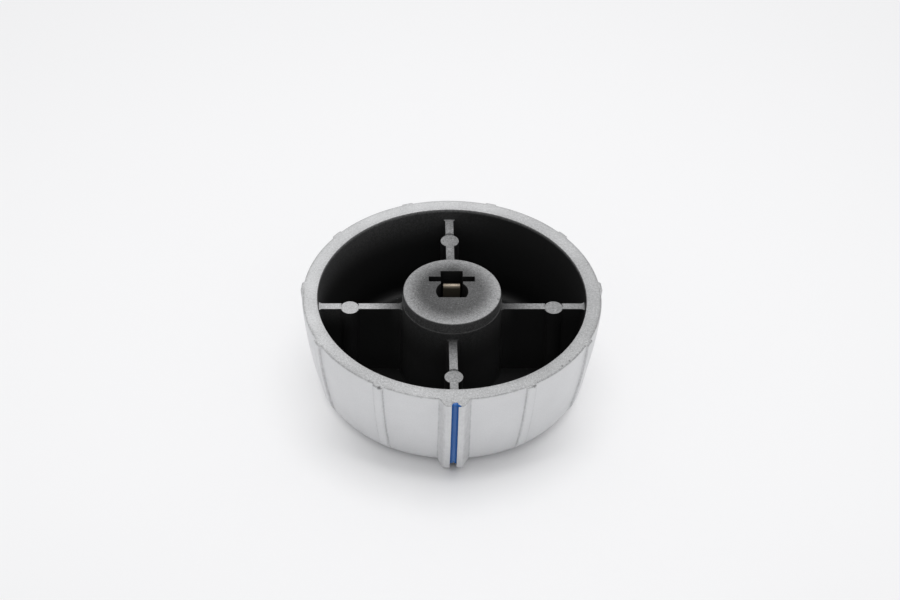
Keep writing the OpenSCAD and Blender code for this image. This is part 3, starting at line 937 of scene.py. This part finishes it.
def paint_solid(shell, pointer):
    """Paint in the groove with a hollow surface and ragged ends, and a smear beside its top."""
    raised = wall_profile(shell, pointer.proud, pointer.corner_r, shell.height)
    last = len(raised) - 1
    corner = np.arange(CORNER_ROWS + 1)
    above_corner = CORNER_ROWS + 0.5
    half = pointer.groove_w / 2
    level_at = pointer.proud - pointer.groove_depth * (1 - pointer.fill)
    sunk = (pointer.proud - level_at) / pointer.groove_depth
    spread = half * (1 - sunk ** 2) ** (1 / GROOVE_POWER)
    upper, lower = [], []
    for u in np.linspace(-1, 1, 15):
        t = u * spread
        ragged = (0.25 * sin(7 * u + 1) + 0.1 * sin(11 * u)) * (1 - u ** 4)
        start = np.interp(pointer.paint_end - PAINT_RUN + ragged, raised[corner, 1], corner)
        stop = last - 1.4 - 0.8 * (0.55 - u) ** 2
        row = np.concatenate([np.linspace(start, above_corner, 8), np.linspace(above_corner, stop, 40)[1:]])
        wave = 0.03 * np.sin(row * 1.3 + 2.1 * u) + 0.02 * np.sin(row * 3.1 + 4 * u)
        hollow = level_at - PAINT_HOLLOW * (1 - u * u) + wave * (1 - u ** 4)
        bed = (ridge_share(pointer, t) - groove_share(pointer, t)) * pointer.proud
        ends = np.minimum(1, (np.arange(len(row)) + 0.4) / 3)
        upper.append(on_ridge(shell, pointer, t, row, bed + (hollow - bed) * ends))
        lower.append(on_ridge(shell, pointer, t, row, np.full(len(row), bed - 0.02)))
    u, v = np.meshgrid(np.linspace(-1, 1, 13), np.linspace(-1, 1, 13), indexing="ij")
    across, along = u * np.sqrt(1 - v * v / 2), v * np.sqrt(1 - u * u / 2)
    t = 0.80 + 0.36 * across
    row = last - 1.5 + 1.2 * along * (1 - 0.45 * across) - 0.5 * across
    film = SMEAR_T * (1 - u * u) * (1 - v * v)
    smear = on_ridge(shell, pointer, t, row, pointer.proud + film)
    seat = on_ridge(shell, pointer, t, row, np.full(row.shape, pointer.proud - SMEAR_T))
    return sheet_solid("pointer_paint", [(np.array(upper), np.array(lower)), (smear, seat)])


# Operators

def dress(obj, material):
    obj.data.materials.clear()
    obj.data.materials.append(material)
    return obj


def hand_over(obj, material, node, sharp):
    """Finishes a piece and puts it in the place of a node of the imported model."""
    smooth(dress(obj, material), radians(sharp))
    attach(obj, BODY)
    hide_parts(node)


class KNOB_OT_shell(bpy.types.Operator):
    """Builds the fluted bowl from like bays round the axis and the pointer's bay"""
    bl_idname = "knob.shell"
    bl_label = "Fluted bowl"

    def execute(self, context):
        shell, flutes, pointer = sizes("shell"), sizes("flutes"), sizes("pointer")
        pitch = (2 * pi - 2 * flutes.gap) / (flutes.count - 1)
        flute = flute_bay(shell, flutes, pitch)
        closing = pointer_bay(shell, pointer, flutes.gap - pitch / 2)
        material = sprayed_silver(sizes("finish"))
        set_round(flute, flutes.count, flutes.gap - pi / 2, pitch, material, closing)
        return {"FINISHED"}


class KNOB_OT_ribs(bpy.types.Operator):
    """Builds the ribs with their ejector posts"""
    bl_idname = "knob.ribs"
    bl_label = "Ribs"

    def execute(self, context):
        ribs = sizes("ribs")
        rib = rib_solid(sizes("shell"), sizes("hub"), ribs)
        material = bpy.data.materials["sprayed_silver"]
        set_round(rib, ribs.count, -pi / 2, 2 * pi / ribs.count, material)
        return {"FINISHED"}


class KNOB_OT_hub(bpy.types.Operator):
    """Builds the hub with its socket and joins the whole moulding"""
    bl_idname = "knob.hub"
    bl_label = "Hub and moulding"

    def execute(self, context):
        moulding = bpy.data.objects["moulding"]
        material = bpy.data.materials["sprayed_silver"]
        hub = dress(hub_solid(sizes("shell"), sizes("hub")), material)
        combine(moulding, [bpy.data.objects["ribs"], hub])
        hand_over(moulding, material, "knob_body", sharp=38)
        return {"FINISHED"}


class KNOB_OT_clip(bpy.types.Operator):
    """Builds the spring clip that grips the shaft"""
    bl_idname = "knob.clip"
    bl_label = "Shaft clip"

    def execute(self, context):
        clip = clip_solid(sizes("clip"))
        hand_over(clip, spring_strip(sizes("finish")), "spring_clip", sharp=50)
        return {"FINISHED"}


class KNOB_OT_paint(bpy.types.Operator):
    """Builds the paint in the pointer's groove"""
    bl_idname = "knob.paint"
    bl_label = "Pointer paint"

    def execute(self, context):
        paint = paint_solid(sizes("shell"), sizes("pointer"))
        hand_over(paint, pointer_blue(sizes("finish")), "pointer_line", sharp=60)
        return {"FINISHED"}


# Stage. The floor is painted darker far from the knob, as shade, and painted paler with light over the
# knob's shadow at its sides and all round, over these distances from the axis, in millimetres

FLOOR_HALF = 2500
FLOOR_FALL, FAR_TONE = (60, 190), 0.93
LIFT_AT_SIDES, LIFT_ROUND = (22.5, 25.5), (26, 30.5)
HORIZON, SKY_RISE = 0.25, (0.1, 0.75)  # light from the side, as a share of that from above, and its rise
BACKDROP = 0.93
LAMP_PLACE, LAMP_SIZE = Vector((0.05, 0.16, 0.9)), 0.6
SENSOR_W, CLIP_RANGE = 36, (0.01, 20)
# How far the rim's centre sits to the right of and below the middle of the picture, in mm
PHOTO_SHIFT = (0.3767, -0.59)


class KNOB_OT_stage(bpy.types.Operator):
    """Sets out the floor, the soft light and the camera"""
    bl_idname = "knob.stage"
    bl_label = "Stage"

    def execute(self, context):
        stage = sizes("stage")
        scene = context.scene
        scene.view_settings.view_transform = "Standard"
        self.set_floor(stage)
        scene.world = self.soft_sky(stage)
        scene.collection.objects.link(self.key_lamp(stage))
        scene.camera = self.photo_camera(stage)
        scene.collection.objects.link(scene.camera)
        return {"FINISHED"}

    def set_floor(self, stage):
        """A pale floor that keeps the knob's shadow, with painted light that makes the shadow paler beside
        the knob and painted shade that makes the floor darker far away.
        """
        corners = [(x * FLOOR_HALF, y * FLOOR_HALF, 0) for x, y in ((-1, -1), (1, -1), (1, 1), (-1, 1))]
        floor = keep("floor", corners, [(0, 1, 2, 3)])
        material, graph = finish("pale_floor")
        _, _, y, _, r, _ = object_place(graph)
        # Painted shade: the floor's tone grows darker far from the knob
        tone = graph.blend(r.rise(*FLOOR_FALL), tinted(stage.floor), tinted(stage.floor, FAR_TONE))
        shaded = graph.node("ShaderNodeBsdfPrincipled",
                            {"Base Color": tone, "Roughness": 0.9, "Specular IOR Level": 0.0})
        pale = graph.node("ShaderNodeEmission", {"Color": tone, "Strength": 1.0})
        # Painted light: beside the knob and all round it, the camera is shown the floor's own tone as a glow,
        # which pales the knob's shadow
        beside = (1 - (y / r).size().rise(0.3, 1)) * r.rise(*LIFT_AT_SIDES) * stage.lift
        painted_light_share = beside.most(r.rise(*LIFT_ROUND) * (stage.lift / 2))
        shown = graph.node("ShaderNodeMixShader", {0: seen_rays(graph) * painted_light_share, 1: shaded, 2: pale})
        graph.node("ShaderNodeOutputMaterial", {"Surface": shown})
        dress(floor, material)

    def soft_sky(self, stage):
        """Light from all round that is stronger from above, behind a plain pale backdrop."""
        world = bpy.data.worlds.new("studio")
        world.use_nodes = True
        sky = Graph(world.node_tree)
        direction = sky.node("ShaderNodeTexCoord", None, "Object")
        height = sky.node("ShaderNodeSeparateXYZ", {"Vector": direction}, "Z")
        glow = (HORIZON + height.rise(*SKY_RISE) * (1 - HORIZON)) * stage.ambient
        light, white = (sky.node("ShaderNodeBackground", {"Color": (1, 1, 1, 1), "Strength": strength})
                        for strength in (glow, BACKDROP))
        both = sky.node("ShaderNodeMixShader", {0: seen_rays(sky), 1: light, 2: white})
        sky.node("ShaderNodeOutputWorld", {"Surface": both})
        return world

    def key_lamp(self, stage):
        lamp = bpy.data.lights.new("key", "AREA")
        lamp.shape = "DISK"
        lamp.size = LAMP_SIZE
        lamp.energy = stage.key
        key = bpy.data.objects.new("key", lamp)
        aimed = LAMP_PLACE.to_track_quat("Z", "Y").to_matrix().to_4x4()
        key.matrix_world = Matrix.Translation(LAMP_PLACE) @ aimed
        return key

    def photo_camera(self, stage):
        """A camera that sees the knob as the photograph does."""
        camera = bpy.data.cameras.new("camera")
        camera.sensor_fit = "HORIZONTAL"
        camera.sensor_width = SENSOR_W
        camera.lens = stage.lens
        camera.clip_start, camera.clip_end = CLIP_RANGE
        axes = Matrix.Rotation(stage.azimuth, 4, "Z") @ Matrix.Rotation(pi / 2 - stage.elevation, 4, "X")
        axes = axes @ Matrix.Rotation(-stage.roll, 4, "Z")
        right, down = PHOTO_SHIFT
        eye = Vector((0, 0, sizes("shell").height)) + axes @ Vector((-right, down, stage.distance))
        view = bpy.data.objects.new("camera", camera)
        view.matrix_world = Matrix.Translation(eye * MM) @ axes
        return view


OPERATORS = (KNOB_OT_stage, KNOB_OT_shell, KNOB_OT_ribs, KNOB_OT_hub, KNOB_OT_clip, KNOB_OT_paint)
GROUPS = (KnobShell, KnobFlutes, KnobPointer, KnobHub, KnobRibs, KnobClip, KnobFinish, KnobStage, ControlKnob)


class VIEW3D_PT_knob(bpy.types.Panel):
    bl_label = "Control knob"
    bl_space_type = "VIEW_3D"
    bl_region_type = "UI"
    bl_category = "Knob"

    def draw(self, context):
        knob = context.scene.control_knob
        for operator in OPERATORS:
            self.layout.operator(operator.bl_idname)
        for group_name in type(knob).__annotations__:
            box = self.layout.box()
            box.label(text=knob.bl_rna.properties[group_name].name)
            group = getattr(knob, group_name)
            for name in type(group).__annotations__:
                box.prop(group, name)


CLASSES = (*GROUPS, *OPERATORS, VIEW3D_PT_knob)


def register():
    for made in CLASSES:
        bpy.utils.register_class(made)
    bpy.types.Scene.control_knob = nested(ControlKnob, "Control knob", "Sizes and colours of the knob")


def unregister():
    del bpy.types.Scene.control_knob
    for made in reversed(CLASSES):
        bpy.utils.unregister_class(made)


def main():
    register()
    for operator in OPERATORS:
        group, name = operator.bl_idname.split(".")
        getattr(getattr(bpy.ops, group), name)()


if __name__ == "__main__":
    main()
